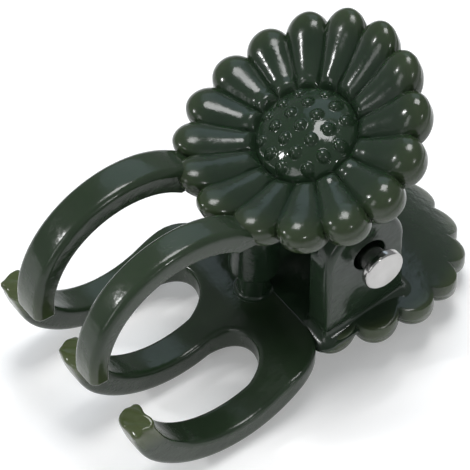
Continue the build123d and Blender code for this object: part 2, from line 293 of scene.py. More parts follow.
# olive, the painted light that shines through the thinner ends of the plastic
OLIVE_SHINE = (0.095, 0.115, 0.04)
jaw_green = green_plastic("jaw_green", (0.010, 0.021, 0.011), (0.017, 0.030, 0.017), OLIVE_SHINE, 0.12, 0.28)
# the daisy's eye was polished in the mould: its beads catch the lamps as fine points
eye_green = green_plastic("eye_green", (0.010, 0.022, 0.011), (0.016, 0.031, 0.016), OLIVE_SHINE, 0.05, 0.14)
print("finishes:", jaw_green.name, eye_green.name)

# %% [markdown]
# ## Bright steel
#
# The pin is turned and polished, with the fine rings the tool leaves round its axis. The
# spring is drawn wire, duller, with lines along it. Both are metal shaders whose roughness
# wanders a little; the rings come from a wave texture that runs round the pin's own axis.

# %% Steel finishes
def polished_pin():
    """Bright steel with turned rings: a wave texture of rings about Y, centred on the pin."""
    finish, nodes, links, shader = new_finish("pin_bright")
    shader.inputs["Metallic"].default_value = 1.0
    tone = noise(nodes, links, 700.0, 3.0)
    shade = ramp(nodes, links, tone.outputs["Fac"],
                 [(0.3, (0.42, 0.41, 0.40)), (0.75, (0.52, 0.51, 0.50))])
    links.new(shade.outputs["Color"], shader.inputs["Base Color"])
    wear = spread(nodes, links, tone.outputs["Fac"], 0.3, 0.7, 0.12, 0.26)
    links.new(wear.outputs["Result"], shader.inputs["Roughness"])
    where = nodes.new("ShaderNodeTexCoord")
    centre = nodes.new("ShaderNodeMapping")
    centre.inputs["Location"].default_value = tuple(-HINGE * MM)
    rings = nodes.new("ShaderNodeTexWave")
    rings.wave_type = "RINGS"
    rings.rings_direction = "Y"
    rings.inputs["Scale"].default_value = 900.0
    rings.inputs["Distortion"].default_value = 1.5
    links.new(where.outputs["Object"], centre.inputs["Vector"])
    links.new(centre.outputs["Vector"], rings.inputs["Vector"])
    lathe = nodes.new("ShaderNodeBump")
    lathe.inputs["Strength"].default_value = 0.12
    lathe.inputs["Distance"].default_value = 0.00002
    links.new(rings.outputs["Fac"], lathe.inputs["Height"])
    links.new(lathe.outputs["Normal"], shader.inputs["Normal"])
    return finish


def drawn_wire():
    """Spring steel, greyer than the pin, with small scratches."""
    finish, nodes, links, shader = new_finish("spring_wire")
    shader.inputs["Metallic"].default_value = 1.0
    tone = noise(nodes, links, 1500.0, 4.0)
    shade = ramp(nodes, links, tone.outputs["Fac"],
                 [(0.3, (0.38, 0.38, 0.37)), (0.7, (0.56, 0.55, 0.53))])
    links.new(shade.outputs["Color"], shader.inputs["Base Color"])
    wear = spread(nodes, links, tone.outputs["Fac"], 0.3, 0.7, 0.24, 0.42)
    links.new(wear.outputs["Result"], shader.inputs["Roughness"])
    scratch = noise(nodes, links, 6000.0, 2.0)
    draw = nodes.new("ShaderNodeBump")
    draw.inputs["Strength"].default_value = 0.25
    draw.inputs["Distance"].default_value = 0.00001
    links.new(scratch.outputs["Fac"], draw.inputs["Height"])
    links.new(draw.outputs["Normal"], shader.inputs["Normal"])
    return finish


pin_bright = polished_pin()
spring_wire = drawn_wire()
print("finishes:", pin_bright.name, spring_wire.name)

# %% [markdown]
# ## The daisy
#
# A pad is a bent plate with sixteen drop-shaped petals standing up from it, each a half-round
# ridge that widens to a round end. It could be sixteen separate drops, but then every crease
# would be a cut between meshes. Here the whole top is one height field in polar coordinates:
# each grid column knows how far it stands from its petal's middle line, so the ridge height
# there is the half ellipse over the petal's width, and the columns between two petals fall
# exactly in the crease.

# %% Daisy sizes
PETALS = 16
STEP = 2 * pi / PETALS
PAD_R = 9.6
PETAL_END_R = 1.78
PETAL_END_AT = PAD_R - PETAL_END_R
PETAL_ROOT_R, PETAL_ROOT_AT = 0.62, 3.0
PETAL_RISE = 1.5 / PETAL_END_R     # rise of a ridge over its half width
PAD_WALL = 1.05
DISH_R, SIDE_DISH_R = 16.6, 111.0  # the pad bends most along the clip, a little across it
LEDGE = 0.06                   # fine parting ledge between the plate and a ridge
NOSE_AT, NOSE_LONG = 4.5, 0.62     # where a ridge begins to round off towards the middle
GROOVE = 1.42                  # floor of the ring groove round the middle dome
FIELD_R = 3.8                  # the ridges' height field starts here, under the dome's edge
CREASE_FILL, CREASE_WIDE = 0.09, 0.13  # the soft floor of a crease between two ridges

UPPER_TILT = radians(21.4)
UPPER_PAD = (1.93, 4.93)
LOWER_PAD = (2.4, 5.6)
UPPER_TURN, LOWER_TURN = radians(-5.36), radians(3.67)


def dish(x, y=0.0):
    """Height of the bent plate: R - sqrt(R^2 - x^2) along the clip, and the same with a far
    larger radius across it."""
    x, y = np.asarray(x, float), np.asarray(y, float)
    return DISH_R - np.sqrt(DISH_R**2 - x**2) + SIDE_DISH_R - np.sqrt(SIDE_DISH_R**2 - y**2)


def petal_half_width(d, shrink=0.0):
    """Half width of a petal at d: straight flanks that touch its round end, then that round."""
    slant = asin((PETAL_END_R - PETAL_ROOT_R) / (PETAL_END_AT - PETAL_ROOT_AT))
    wide_at = PETAL_END_AT - PETAL_END_R * sin(slant)
    flank = (PETAL_ROOT_R + (d - PETAL_ROOT_AT) * sin(slant)) / cos(slant)
    end = np.sqrt(np.clip(PETAL_END_R**2 - (d - PETAL_END_AT) ** 2, 0, None))
    return np.where(d < wide_at, flank, end) - shrink


def rim_at(offset, end_r):
    """Distance of the scalloped rim at an angle from a petal's middle line: the far crossing
    of that ray with the circle of radius end_r about the petal's end."""
    return PETAL_END_AT * np.cos(offset) + np.sqrt(end_r**2 - (PETAL_END_AT * np.sin(offset)) ** 2)


def smooth(t):
    """0 below 0, 1 above 1 and 3t^2 - 2t^3 between."""
    t = np.clip(t, 0, 1)
    return t * t * (3 - 2 * t)


# %% The daisy's shell
def daisy(turn, columns_per_petal=28, rings=66):
    """The pad without its dome, in its own frame: x, y across and h up from its back face."""
    count = PETALS * columns_per_petal
    k = np.arange(count)
    angle = turn + STEP * k / columns_per_petal
    offset = STEP * ((k % columns_per_petal) / columns_per_petal - 0.5)
    crease = np.abs(np.abs(offset) - STEP / 2)
    crown_rim = rim_at(offset, PETAL_END_R - LEDGE)
    plate_rim = rim_at(offset, PETAL_END_R)

    def ring(r, h):
        r = np.broadcast_to(r, count)
        x, y = r * np.cos(angle), r * np.sin(angle)
        return np.stack([x, y, h(x, y)], -1)

    def top(share):
        r = FIELD_R + (crown_rim - FIELD_R) * sin(share * pi / 2)
        d, side = r * np.cos(offset), r * np.abs(np.sin(offset))
        half = petal_half_width(d, LEDGE)
        ridge = PETAL_RISE * np.sqrt(np.clip(half**2 - side**2, 0, None))
        ridge *= np.sqrt(np.clip(1 - np.clip((NOSE_AT - r) / NOSE_LONG, 0, 1) ** 2, 0, 1))
        valley = CREASE_FILL * np.exp(-r * np.sin(crease) / CREASE_WIDE)
        valley *= smooth((8.2 - r) / 0.8) * smooth((r - 4.6) / 0.6)

        def height(x, y):
            plate = dish(x, y) + PAD_WALL
            lift = np.clip(GROOVE - plate, 0, None) * smooth((5.2 - r) / 0.9)
            return plate + lift + ridge + valley

        return ring(r, height)

    def over_back(h):
        return lambda x, y: dish(x, y) + h

    rows = [ring(0.0, lambda x, y: x * 0 + GROOVE - 0.2),
            ring(FIELD_R - 0.2, lambda x, y: x * 0 + GROOVE - 0.1)]
    rows += [top(share) for share in np.linspace(0, 1, rings)]
    rows.append(ring(plate_rim - 0.02, over_back(PAD_WALL)))
    rows.append(ring(plate_rim, over_back(PAD_WALL - 0.03)))
    rows += [ring(plate_rim, over_back(PAD_WALL * s)) for s in (0.6, 0.2)]
    rows.append(ring(plate_rim - 0.05, over_back(0.05)))
    rows.append(ring(plate_rim - 0.18, over_back(0)))
    rows += [ring((plate_rim - 0.18) * s, over_back(0)) for s in np.linspace(0.97, 0, 16)]
    return skin(np.array(rows))


def on_upper_pad(shell):
    """From a pad's own frame to the drawing, for the upper pad: shifted, then tilted about Y."""
    p, quads = shell
    x, n = p[:, 0] + UPPER_PAD[0], p[:, 2] + UPPER_PAD[1]
    c, s = cos(UPPER_TILT), sin(UPPER_TILT)
    return np.stack([x * c - n * s, p[:, 1], x * s + n * c], -1), quads


def on_lower_pad(shell):
    """The same for the lower pad, which is turned over about X."""
    p, quads = shell
    return np.stack([p[:, 0] + LOWER_PAD[0], -p[:, 1], -p[:, 2] - LOWER_PAD[1]], -1), quads


def shine_through_upper(p):
    """Painted light shining through the thinner petal ends of the tilted upper pad."""
    x = p[:, 0] * cos(UPPER_TILT) + p[:, 2] * sin(UPPER_TILT) - UPPER_PAD[0]
    return 0.16 * smooth((np.hypot(x, p[:, 1]) - 6.8) / 2.8)


def shine_through_lower(p):
    """The same for the lower pad."""
    return 0.25 * smooth((np.hypot(p[:, 0] - LOWER_PAD[0], p[:, 1]) - 8.3) / 1.3)


# the petal ends wear painted light shining through them
upper_daisy = piece("upper_daisy", on_upper_pad(daisy(UPPER_TURN)), "upper_body", jaw_green, 38.0,
                    shine_through_upper)
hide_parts("upper_jaw")
lower_daisy = piece("lower_daisy", on_lower_pad(daisy(LOWER_TURN)), "lower_body", jaw_green, 38.0,
                    shine_through_lower)
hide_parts("lower_jaw")

# %% [markdown]
# ## The eye of the daisy
#
# In the middle sits a low dome with twenty-one small beads, five rows of five without the
# corners. A polar grid would crowd its points at the middle and starve the beads near the
# edge, so this surface starts from a square grid and presses it into a disc, which keeps the
# cells nearly equal. The beads are added to the dome's height as small caps.

# %% Eye sizes and surface
EYE_R = 3.9
EYE_RIM, EYE_CROWN = 1.7, 3.1
BEAD_PITCH, BEAD_R, BEAD_RISE = 1.45, 0.5, 0.36


def eye(turn, cells=120):
    """Dome and beads: the square (u, v) becomes the disc (u sqrt(1 - v^2/2), v sqrt(1 - u^2/2))."""
    t = np.linspace(-1, 1, cells + 1)
    u, v = np.meshgrid(t, t, indexing="ij")
    x, y = EYE_R * u * np.sqrt(1 - v**2 / 2), EYE_R * v * np.sqrt(1 - u**2 / 2)
    r = np.hypot(x, y)
    rise = EYE_CROWN - EYE_RIM
    ball = (EYE_R**2 + rise**2) / (2 * rise)
    dome = EYE_CROWN - ball + np.sqrt(ball**2 - r**2)
    edge = np.sqrt(np.clip(1 - np.clip((r - EYE_R + 0.4) / 0.4, 0, 1) ** 2, 0, 1))
    h = GROOVE - 0.1 + (dome - GROOVE + 0.1) * edge
    i, j = np.meshgrid(np.arange(-2, 3), np.arange(-2, 3))
    spots = np.stack([i.ravel(), j.ravel()], -1)[(np.abs(i) + np.abs(j)).ravel() < 4] * BEAD_PITCH
    bx = spots[:, 0] * cos(turn) - spots[:, 1] * sin(turn)
    by = spots[:, 0] * sin(turn) + spots[:, 1] * cos(turn)
    q = np.hypot(x[..., None] - bx, y[..., None] - by) / BEAD_R
    h = h + (BEAD_RISE * np.clip(1 - q**2, 0, 1) ** 0.75).sum(-1)
    top = np.stack([x, y, h], -1)
    under = top.copy()
    under[..., 2] = GROOVE - 0.35
    # the top, its mirror below, and a strip of the two rims between them
    shell_top, shell_under = skin_open(top), skin_open(under)
    side = cells + 1
    border = np.concatenate([np.arange(side), np.arange(1, side) * side + cells,
                             side**2 - 2 - np.arange(cells), side * np.arange(cells - 1, 0, -1)])
    rim = np.stack([top.reshape(-1, 3)[border], under.reshape(-1, 3)[border]])
    points, quads = join(shell_top, (shell_under[0], shell_under[1][:, ::-1]), skin_open(rim, True))
    return outward(points, quads)


def skin_open(points, wrap=False):
    """Quads of a grid that is only part of a shell, left as they run."""
    rows, columns = points.shape[:2]
    index = np.arange(rows * columns).reshape(rows, columns)
    if wrap:
        index = np.hstack([index, index[:, :1]])
    quads = np.stack([index[:-1, :-1], index[:-1, 1:], index[1:, 1:], index[1:, :-1]], -1)
    return points.reshape(-1, 3), quads.reshape(-1, 4)


piece("upper_eye", on_upper_pad(eye(UPPER_TURN)), "upper_body", eye_green, 60.0)
piece("lower_eye", on_lower_pad(eye(LOWER_TURN)), "lower_body", eye_green, 60.0)

# %% [markdown]
# ## The upper hooks
#
# Two hooks leave the back of the upper pad and curl over the stem. Each lies between two
# circles that aren't concentric, thick over the top and slimmer at the tip. A bevelled curve
# has one thickness all along, so the hook is a carried section instead: for each step along
# the two circles the section is a rounded rectangle that just spans them.

# %% Hook sizes and the carried section
FINGER_W, FINGER_PITCH = 2.6, 3.81
OUTER_EDGE_R, INNER_EDGE_R = 0.55, 0.3
HOOK, HOOK_R = np.array([-14.19, -0.81]), 6.87
HOOK_BACK, HOOK_BACK_R = np.array([-14.05, -0.62]), 8.47
HOOK_TIP_Z, HOOK_UNDER_X, HOOK_OVER_X = -1.4, -9.9, -7.5


def round_section(half_wide, half_thick, r_out, r_in, crown=0.05, corner=8, flat=5):
    """Rounded rectangle per row: arrays of y (across) and e (out from the middle), rows by points.
    Each corner is a quarter circle; the outer side bulges by crown (1 - (y/a)^2)."""
    a, b = np.atleast_1d(half_wide)[:, None], np.atleast_1d(half_thick)[:, None]
    quarter = np.linspace(0, pi / 2, corner)
    ys, es = [], []
    for sign_y, sign_e in ((1, 1), (-1, 1), (-1, -1), (1, -1)):
        r = np.minimum(r_out if sign_e > 0 else r_in, 0.96 * np.minimum(a, b))
        turn = quarter if sign_y * sign_e > 0 else quarter[::-1]
        y = sign_y * (a - r + r * np.cos(turn))
        e = sign_e * (b - r + r * np.sin(turn))
        ys.append(y), es.append(e)
        # run along the side that follows this corner
        if (sign_y, sign_e) in ((1, 1), (-1, -1)):
            side = np.linspace(1, -1, flat + 2)[1:-1] * sign_y
            ys.append((a - r) * side), es.append(e[:, -1:] + 0 * side)
    y, e = np.concatenate(ys, 1), np.concatenate(es, 1)
    e = e + np.where(e > 0, crown, 0.0) * np.clip(1 - (y / a) ** 2, 0, 1)
    return y, e


def carried(inner, outer, half_wide, middle_y, tip_r=0.3):
    """A section carried along paired points of an inner and an outer line (rows of x, z), with
    its last end rounded over tip_r and closed, and its first end closed flat."""
    mid, half = (inner + outer) / 2, np.linalg.norm(outer - inner, axis=1) / 2
    out = (outer - inner) / (2 * half[:, None])
    wide = np.broadcast_to(half_wide, len(mid)).astype(float)
    # the rounded end: the last section shrinks by tip_r (1 - cos) while it moves on by tip_r sin
    ahead = mid[-1] - mid[-2]
    ahead /= np.linalg.norm(ahead)
    over = np.linspace(0, pi / 2, 7)[1:]
    shrink = tip_r * (1 - np.cos(over))
    mid = np.vstack([mid, mid[-1] + np.outer(tip_r * np.sin(over), ahead)])
    out = np.vstack([out, np.repeat(out[-1:], len(over), 0)])
    half = np.concatenate([half, half[-1] - shrink])
    wide = np.concatenate([wide, wide[-1] - shrink])
    y, e = round_section(wide, half, OUTER_EDGE_R, INNER_EDGE_R)
    x = mid[:, :1] + out[:, :1] * e
    z = mid[:, 1:] + out[:, 1:] * e
    body = np.stack([x, middle_y + y, z], -1)
    first, last = body[:1].mean(1, keepdims=True), body[-1:].mean(1, keepdims=True)
    columns = body.shape[1]
    return np.concatenate([np.repeat(first, columns, 1), body, np.repeat(last, columns, 1)])


def on_circle(middle, r, angle):
    """Points (x, z) of a circle at an array of angles."""
    return np.asarray(middle) + r * np.stack([np.cos(angle), np.sin(angle)], -1)


def along(*runs, count=150):
    """Points spaced evenly along several runs of points (x, z) put end to end."""
    line = np.vstack(runs)
    line = line[np.r_[True, np.linalg.norm(np.diff(line, axis=0), axis=1) > 1e-6]]
    far = np.r_[0, np.cumsum(np.linalg.norm(np.diff(line, axis=0), axis=1))]
    want = np.linspace(0, far[-1], count)
    return np.stack([np.interp(want, far, line[:, k]) for k in (0, 1)], -1)


# %% The two upper hooks
def in_upper_pad(along_x, depth):
    """A point (x, z) at a depth under the upper pad's back face."""
    x, n = along_x + UPPER_PAD[0], UPPER_PAD[1] + float(dish(along_x)) + depth
    c, s = cos(UPPER_TILT), sin(UPPER_TILT)
    return np.array([[x * c - n * s, x * s + n * c]])


def upper_hook(middle_y, half_wide, inner_r, rows=140):
    """From inside the pad over the top and down to the tip. Its inner line runs straight on
    from the inner round into the pad, so the root closes as a wedge."""
    in_start = acos((HOOK_UNDER_X - HOOK[0]) / inner_r)
    in_end = pi + asin((HOOK[1] - HOOK_TIP_Z) / inner_r)
    out_start = acos((HOOK_OVER_X - HOOK_BACK[0]) / HOOK_BACK_R)
    out_end = pi + asin((HOOK_BACK[1] - HOOK_TIP_Z) / HOOK_BACK_R)
    round_in = on_circle(HOOK, inner_r, np.linspace(in_start, in_end, 400))
    round_out = on_circle(HOOK_BACK, HOOK_BACK_R, np.linspace(out_start, out_end, 400))
    root_x = HOOK_OVER_X + 0.6
    inner = along(in_upper_pad(root_x, 0.3), round_in, count=rows)
    outer = along(in_upper_pad(root_x, 0.75), round_out, count=rows)
    return skin(carried(inner, outer, half_wide, middle_y))


def shine_through_hook(p):
    """Painted light shining through a hook, more towards its tip."""
    return 0.05 + 0.2 * smooth((2.5 - p[:, 2]) / 4.5) * smooth((-16 - p[:, 0]) / 3)


# measured in the photograph, the far hook came out a little stouter than the near one
HOOKS = {"near": (-3.78, 1.27, HOOK_R), "far": (3.62, 1.44, HOOK_R - 0.2)}
for label, sizes in HOOKS.items():
    # the hook tips wear painted light shining through them
    piece(f"upper_hook_{label}", upper_hook(*sizes), "upper_body", jaw_green, 60.0,
          shine_through_hook)

# %% [markdown]
# ## The lower fingers and their neck
#
# Three fingers curl up between the hooks and run together into one broad neck under the
# lower pad. On the real clip the slots between them end in soft rounds with no seam. Overlapping
# meshes would show one, so the fingers (carried sections again) and the neck (a top and a
# bottom height over the same plan) are drawn as closed shells, melted together by a voxel
# remesh and smoothed. The plan distance to the nearest slot or edge rounds the neck's rims.

# %% Sizes of the lower fingers and the neck
BOWL, BOWL_R = np.array([-13.02, -2.05]), 6.95
KEEL, KEEL_R = np.array([-13.12, -1.95]), 9.1
TIP_IN_Z, TIP_OUT_Z = -3.6, -4.2
TIP_TAPER, TAPER_TURN = 0.35, radians(28)  # the outer line closes in over the last of its turn
FINGER_ROOT_X = -7.9           # a finger starts here, inside the neck
KNOB_RISE = 0.07
CREST = np.array([-5.6, -6.95])
INSTEP_R, NECK_UNDER_Z = 4.6, -8.58
NECK_CORNER_R, NECK_END_X, SLOT_END_X = 4.0, -3.93, -7.9
NECK_HALF = 2 * FINGER_PITCH + FINGER_W / 2
SLOT_R = FINGER_PITCH - FINGER_W / 2
SLOT_X = SLOT_END_X - SLOT_R

crest_run, crest_drop = CREST[0] - BOWL[0], BOWL[1] - CREST[1]
CREST_R = (crest_run**2 + crest_drop**2 - BOWL_R**2) / (2 * (BOWL_R - crest_drop))
BOWL_END = atan2(-(crest_drop + CREST_R), crest_run)
# the keel's round runs on until the hollow under the pad, tangent to it, ends level
KEEL_TURN = acos((KEEL[1] - INSTEP_R - NECK_UNDER_Z + 2 * INSTEP_R) / (KEEL_R + INSTEP_R))
KEEL_END = -pi / 2 + KEEL_TURN
HOLLOW = on_circle(KEEL, KEEL_R + INSTEP_R, KEEL_END)
print("hollow ends at x =", round(float(HOLLOW[0]), 2), "mm; crest round", round(CREST_R, 2), "mm")


# %% Heights of the neck and its plan
def neck_top(x):
    """Top of the neck: the bowl's round, then the crest's round, then level."""
    change_x = BOWL[0] + BOWL_R * cos(BOWL_END)
    bowl = BOWL[1] - np.sqrt(np.clip(BOWL_R**2 - (x - BOWL[0]) ** 2, 0, None))
    crest = CREST[1] - CREST_R + np.sqrt(np.clip(CREST_R**2 - (x - CREST[0]) ** 2, 0, None))
    return np.where(x < change_x, bowl, np.where(x < CREST[0], crest, CREST[1]))


def neck_bottom(x):
    """Underside of the neck: the keel's round and the hollow that ends level under the pad."""
    keel_x = KEEL[0] + KEEL_R * cos(KEEL_END)
    keel = KEEL[1] - np.sqrt(np.clip(KEEL_R**2 - (x - KEEL[0]) ** 2, 0, None))
    hollow = HOLLOW[1] + np.sqrt(np.clip(INSTEP_R**2 - (x - HOLLOW[0]) ** 2, 0, None))
    return np.where(x < keel_x, keel, np.where(x < HOLLOW[0], hollow, NECK_UNDER_Z))


def edge_distance(x, y):
    """Distance in plan from the nearest slot, side or rounded corner of the neck."""
    ay = np.abs(y)
    slot = np.where(x > SLOT_X, np.hypot(x - SLOT_X, ay - FINGER_PITCH), np.abs(ay - FINGER_PITCH)) - SLOT_R
    over_x, over_y = x - (NECK_END_X - NECK_CORNER_R), ay - (NECK_HALF - NECK_CORNER_R)
    corner = NECK_CORNER_R - np.hypot(np.clip(over_x, 0, None), np.clip(over_y, 0, None))
    sides = np.where((over_x > 0) & (over_y > 0), corner, np.minimum(NECK_HALF - ay, NECK_END_X - x))
    return np.clip(np.minimum(slot, sides), 0, None)


def rounded_off(distance, r):
    """How far a face drops within r of an edge: r - sqrt(r^2 - (r - distance)^2)."""
    near = np.clip(r - distance, 0, r)
    return r - np.sqrt(r**2 - near**2)


def neck(rows=150, columns=70):
    """Closed shell of the neck: for each y the loop over its top and back along its bottom."""
    y = NECK_HALF * np.sin(np.linspace(-pi / 2, pi / 2, rows))
    across = np.abs(np.abs(y) - FINGER_PITCH)
    slot_end = SLOT_X + np.sqrt(np.clip(SLOT_R**2 - across**2, 0, None))
    left = np.where(across < SLOT_R, slot_end, SLOT_X + 0.3)
    past = np.clip(np.abs(y) - (NECK_HALF - NECK_CORNER_R), 0, None)
    far = NECK_END_X - NECK_CORNER_R + np.sqrt(NECK_CORNER_R**2 - past**2)
    share = (1 - np.cos(np.linspace(0, pi, columns))) / 2
    x = left[:, None] + (far - left)[:, None] * share
    yy = np.repeat(y[:, None], columns, 1)
    away = edge_distance(x, yy)
    top = np.stack([x, yy, neck_top(x) - rounded_off(away, INNER_EDGE_R)], -1)
    under = np.stack([x, yy, neck_bottom(x) + rounded_off(away, OUTER_EDGE_R)], -1)
    points, quads = skin_open(np.concatenate([top, under[:, ::-1]], 1), True)
    wide = 2 * columns
    k = np.arange(columns - 1)
    last = (rows - 1) * wide
    caps = [np.stack([k, wide - 1 - k, wide - 2 - k, k + 1], -1),
            np.stack([last + k, last + k + 1, last + wide - 2 - k, last + wide - 1 - k], -1)]
    return outward(points, np.concatenate([quads, *caps]))


# %% The fingers
def lower_finger(row):
    """A finger from inside the neck, down under the stem and up to its slanted tip."""
    top_x = np.linspace(FINGER_ROOT_X, BOWL[0] + BOWL_R * cos(BOWL_END), 60)
    low_x = np.linspace(FINGER_ROOT_X, KEEL[0] + KEEL_R * cos(KEEL_END), 60)
    in_end = -pi + asin((BOWL[1] - TIP_IN_Z) / BOWL_R)
    out_end = -pi + asin((KEEL[1] - TIP_OUT_Z) / KEEL_R)
    inner = along(np.stack([top_x, neck_top(top_x)], -1),
                  on_circle(BOWL, BOWL_R, np.linspace(BOWL_END, in_end, 400)))
    turn = np.linspace(KEEL_END, out_end, 500)
    keel_r = KEEL_R - TIP_TAPER * (1 - smooth((turn - out_end) / TAPER_TURN))
    outer = along(np.stack([low_x, neck_bottom(low_x)], -1), on_circle(KEEL, keel_r[:, None], turn))
    return skin(carried(inner, outer, FINGER_W / 2, row * FINGER_PITCH, tip_r=0.22))


# %% Melt them together
def melted(name, shell, voxel=0.12, rounds=6):
    """One smooth skin round overlapping shells: voxel remesh, then smoothing, in millimetres."""
    points, quads = shell
    mesh = bpy.data.meshes.new(name)
    mesh.from_pydata(points.tolist(), [], quads.tolist())
    rough = bpy.data.objects.new(name, mesh)
    bpy.context.scene.collection.objects.link(rough)
    melt = rough.modifiers.new("melt", "REMESH")
    melt.mode, melt.voxel_size, melt.adaptivity = "VOXEL", voxel, 0.0
    calm = rough.modifiers.new("calm", "SMOOTH")
    calm.factor, calm.iterations = 0.5, rounds
    done = bpy.data.meshes.new_from_object(rough.evaluated_get(bpy.context.evaluated_depsgraph_get()))
    points = np.empty(len(done.vertices) * 3)
    done.vertices.foreach_get("co", points)
    quads = np.empty(len(done.loops), np.int64)
    done.loops.foreach_get("vertex_index", quads)
    bpy.data.objects.remove(rough)
    bpy.data.meshes.remove(mesh)
    bpy.data.meshes.remove(done)
    return outward(points.reshape(-1, 3), quads.reshape(-1, 4))


# %% One skin, with knobby ends
def at_tip(p):
    """How far a point is into a finger's end: 1 over the last millimetre or so."""
    return smooth((p[:, 2] + 6.4) / 2.2) * smooth((-17 - p[:, 0]) / 1.5)


fork_points, fork_quads = melted("fork", join(neck(), *[lower_finger(row) for row in (-2, 0, 2)]))
# a tip was broken off its runner: a knobby end, drawn with three waves that cross each other
x, y, z = fork_points.T
knobs = np.stack([np.sin(4.3 * y + 2.1 * z + 1.0), 0.6 * np.sin(5.2 * x + 3.3 * z + 2.0),
                  np.sin(3.1 * y + 4.4 * x + 0.5)], -1)
fork_points = fork_points + KNOB_RISE * (smooth((z + 5.0) / 1.2) * smooth((-17 - x) / 1.5))[:, None] * knobs
# the finger ends wear painted light shining through their thinner plastic, most at the tip
piece("lower_fork", (fork_points, fork_quads), "lower_body", jaw_green, 60.0,
      lambda p: 0.04 + 0.45 * at_tip(p))

# %% [markdown]
# ## The ears
#
# Four flat ears carry the pin: two stand on the lower pad and two hang from the upper one
# between them. Seen from the side each is an outline round a hole. A grid suits it well: one
# index goes round the hole, the other across the ring from the hole's edge out over the face,
# round the soft rim and back along the other face.

# %% Ear helper
def outline_out(angle, corners_x, top_z, foot_z):
    """Distance from the pin to an ear's outline at each angle: straight sides at corners_x, a
    half round top that spans them, and a level foot."""
    left, right_x = corners_x
    r = (right_x - left) / 2
    middle = np.array([(left + right_x) / 2, top_z - r])
    c, s = np.cos(angle), np.sin(angle)
    # the round top: far crossing of the ray with the circle
    b = c * middle[0] + s * middle[1]
    root = b**2 - (middle @ middle - r**2)
    arc = b + np.sqrt(np.clip(root, 0, None))
    arc_z = arc * s
    with np.errstate(divide="ignore"):
        side = np.where(c > 0, right_x / np.where(c > 0, c, 1), left / np.where(c < 0, c, -1))
        foot = np.where(s < 0, foot_z / np.where(s < 0, s, -1), 1e9)
    straight = np.minimum(np.where(c == 0, 1e9, side), foot)
    return np.where((root > 0) & (arc_z >= middle[1]), arc, straight)


def ear(distance, hole_r, inner_y, outer_y, edge, columns=160):
    """Closed shell: rows run from the hole over the outer face, its rim and back on the inner face."""
    angle = 2 * pi * np.arange(columns) / columns + pi / columns
    far = distance(angle)
    sign = 1 if outer_y > inner_y else -1

    def row(r, y):
        return np.stack([r * np.cos(angle), y + 0 * angle, r * np.sin(angle)], -1)

    bevel = 0.12
    rows = [row(hole_r, inner_y + sign * bevel), row(hole_r, outer_y - sign * bevel)]
    rows += [row(hole_r + bevel * (1 - cos(t)), outer_y - sign * bevel * (1 - sin(t)))
             for t in np.linspace(0.3, pi / 2, 5)]
    rows += [row(hole_r + (far - edge - hole_r) * s, outer_y) for s in (0.25, 0.5, 0.75, 0.95)]
    rows += [row(far - edge * (1 - sin(t)), outer_y - sign * edge * (1 - cos(t)))
             for t in np.linspace(0, pi / 2, 8)]
    small = 0.15
    rows += [row(far - small * (1 - cos(t)), inner_y + sign * small * (1 - sin(t)))
             for t in np.linspace(0, pi / 2, 5)]
    rows += [row(hole_r + (far - small - hole_r) * s, inner_y) for s in (0.8, 0.5, 0.2)]
    rows += [row(hole_r + bevel * (1 - cos(t)), inner_y + sign * bevel * (1 - sin(t)))
             for t in np.linspace(pi / 2, 0.3, 5)]
    points = np.array(rows)
    return skin(np.concatenate([points, points[:1]]))


# %% The four ears
LOWER_EAR_X, LOWER_EAR_TOP = (-3.75, 3.2), 3.6
LOWER_EAR_Y, UPPER_EAR_Y = (5.0, 7.2), (3.0, 4.8)
LOWER_EAR_EDGE, UPPER_EAR_EDGE = 0.5, 0.3
UPPER_EAR_R = 2.5
PIN_R = 1.0
LOOSE_R, TIGHT_R, RUNNING_R = 1.35, PIN_R + 0.03, PIN_R + 0.055  # near lower, far lower, upper ears


def lower_ear_out(angle):
    """A half round over straight sides, down into the lower pad."""
    return outline_out(angle, LOWER_EAR_X, LOWER_EAR_TOP, -LOWER_PAD[1] - 0.75)


def upper_ear_out(angle):
    """Round below the pin and straight up into the tilted pad."""
    local = -(angle - UPPER_TILT)
    return outline_out(local, (-UPPER_EAR_R, UPPER_EAR_R), UPPER_EAR_R, -UPPER_PAD[1] - 0.6)


for label, side, hole in (("near", -1, LOOSE_R), ("far", 1, TIGHT_R)):
    shell = ear(lower_ear_out, hole, side * LOWER_EAR_Y[0], side * LOWER_EAR_Y[1], LOWER_EAR_EDGE)
    piece(f"lower_ear_{label}", shell, "lower_body", jaw_green, 40.0)
for label, side in (("near", -1), ("far", 1)):
    shell = ear(upper_ear_out, RUNNING_R, side * UPPER_EAR_Y[0], side * UPPER_EAR_Y[1], UPPER_EAR_EDGE)
    piece(f"upper_ear_{label}", shell, "upper_body", jaw_green, 40.0)

# %% [markdown]
# ## Soft feet of the lower ears
#
# Where an ear meets the pad the mould has a hollow fillet. It is a quarter circle carried
# round the ear's rectangle in plan, its height taken from the bent pad under it.

